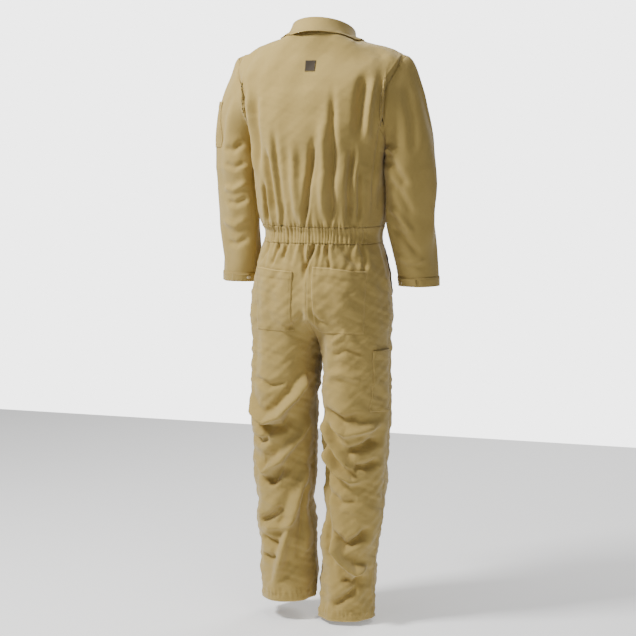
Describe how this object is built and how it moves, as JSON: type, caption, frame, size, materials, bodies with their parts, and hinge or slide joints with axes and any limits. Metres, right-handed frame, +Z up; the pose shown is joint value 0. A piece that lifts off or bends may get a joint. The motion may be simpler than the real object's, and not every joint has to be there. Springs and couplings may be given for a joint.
{
  "type": "beekeeping suit",
  "caption": "One-piece long-sleeved work coverall for beekeeping, with front zip, turned-down collar, elastic back waist and patch pockets.",
  "frame": {"origin": "on the collar seam level at the nape of the neck, in the middle plane of the suit, where the shoulders of a wearer or a hanger carry it", "axes": "+Z up, the front faces -Y, the left sleeve of the wearer is at +X"},
  "size_m": [0.614, 0.2987, 1.6147],
  "materials": {
    "twill": "matt cotton twill",
    "twill_facing": "matt cotton twill, wrong side",
    "pocketing": "plain pocketing cloth",
    "elastic": "woven elastic",
    "zip_tape": "woven tape",
    "zip_brass": "satin",
    "snap_metal": "nickel over brass",
    "badge_weave": "dense woven badge",
    "label_tape": "satin label tape"
  },
  "bodies": {
    "trunk": {"action_pleat_left": "twill", "action_pleat_right": "twill", "back_badge": "badge_weave", "back_panel": "twill", "care_label": "label_tape", "chest_pocket_left": "twill", "chest_pocket_right": "twill", "chest_socket_left": "snap_metal", "chest_socket_right": "snap_metal", "collar_leaf": "twill", "collar_stand": "twill", "front_panel_left": "twill", "front_panel_right": "twill", "hanger_loop": "twill_facing", "hip_welt_left": "twill", "hip_welt_right": "twill", "pocket_bag_left": "pocketing", "pocket_bag_right": "pocketing", "seat_left": "twill", "seat_pocket_left": "twill", "seat_pocket_right": "twill", "seat_right": "twill", "trouser_front_left": "twill", "trouser_front_right": "twill", "waist_elastic": "elastic", "waistband_back": "twill", "waistband_front_left": "twill", "waistband_front_right": "twill", "zip_stops": "zip_brass", "zip_tape_left": "zip_tape", "zip_tape_right": "zip_tape", "zip_teeth_left": "zip_brass", "zip_teeth_right": "zip_brass"},
    "sleeve_left": {"sleeve_left": "twill", "cuff_left": "twill", "pen_pocket": "twill"},
    "sleeve_right": {"sleeve_right": "twill", "cuff_right": "twill"},
    "cuff_tab_left": {"cuff_tab_left": "twill", "cuff_snap_left": "snap_metal"},
    "cuff_tab_right": {"cuff_tab_right": "twill", "cuff_snap_right": "snap_metal"},
    "leg_left": {"leg_back_left": "twill", "leg_front_left": "twill", "leg_hem_left": "twill"},
    "leg_right": {"leg_back_right": "twill", "leg_front_right": "twill", "leg_hem_right": "twill", "rule_pocket": "twill"},
    "chest_flap_left": {"chest_flap_left": "twill", "chest_snap_left": "snap_metal"},
    "chest_flap_right": {"chest_flap_right": "twill", "chest_snap_right": "snap_metal"},
    "zip_slider_top": {"zip_slider_top": "zip_brass"},
    "zip_pull_top": {"zip_pull_top": "zip_brass"},
    "zip_slider_bottom": {"zip_slider_bottom": "zip_brass"},
    "zip_pull_bottom": {"zip_pull_bottom": "zip_brass"}
  },
  "joints": [
    {"name": "sleeve_left_raise", "type": "hinge", "parent": "trunk", "child": "sleeve_left", "pos_m": [0.242, 0, -0.07], "axis": [0, -1, 0], "range_deg": [0, 50]},
    {"name": "leg_left_swing", "type": "hinge", "parent": "trunk", "child": "leg_left", "pos_m": [0.097, 0.006, -0.8], "axis": [-1, 0, 0], "range_deg": [0, 40]},
    {"name": "cuff_tab_left_open", "type": "hinge", "parent": "sleeve_left", "child": "cuff_tab_left", "pos_m": [0.2625, -0.0005, -0.6725], "axis": [0, -0.1961, -0.9806], "range_deg": [0, 60]},
    {"name": "chest_flap_left_lift", "type": "hinge", "parent": "trunk", "child": "chest_flap_left", "pos_m": [0.084, -0.1189, -0.2218], "axis": [-1, 0, 0], "range_deg": [0, 110]},
    {"name": "sleeve_right_raise", "type": "hinge", "parent": "trunk", "child": "sleeve_right", "pos_m": [-0.242, 0, -0.07], "axis": [0, 1, 0], "range_deg": [0, 50]},
    {"name": "leg_right_swing", "type": "hinge", "parent": "trunk", "child": "leg_right", "pos_m": [-0.097, 0.006, -0.8], "axis": [-1, 0, 0], "range_deg": [0, 40]},
    {"name": "cuff_tab_right_open", "type": "hinge", "parent": "sleeve_right", "child": "cuff_tab_right", "pos_m": [-0.2625, -0.0005, -0.6725], "axis": [0, 0.1961, 0.9806], "range_deg": [0, 60]},
    {"name": "chest_flap_right_lift", "type": "hinge", "parent": "trunk", "child": "chest_flap_right", "pos_m": [-0.084, -0.1189, -0.2218], "axis": [-1, 0, 0], "range_deg": [0, 110]},
    {"name": "zip_top_slide", "type": "slide", "parent": "trunk", "child": "zip_slider_top", "axis": [0, -0.0635, -0.998], "range_m": [0, 0.4]},
    {"name": "zip_bottom_slide", "type": "slide", "parent": "trunk", "child": "zip_slider_bottom", "axis": [0, 0.0635, 0.998], "range_m": [0, 0.13]},
    {"name": "zip_pull_top_lift", "type": "hinge", "parent": "zip_slider_top", "child": "zip_pull_top", "pos_m": [0, -0.1062, -0.09791], "axis": [-1, 0, 0], "range_deg": [0, 150]},
    {"name": "zip_pull_bottom_lift", "type": "hinge", "parent": "zip_slider_bottom", "child": "zip_pull_bottom", "pos_m": [0, -0.14377, -0.68801], "axis": [-1, 0, 0], "range_deg": [0, 150]}
  ]
}
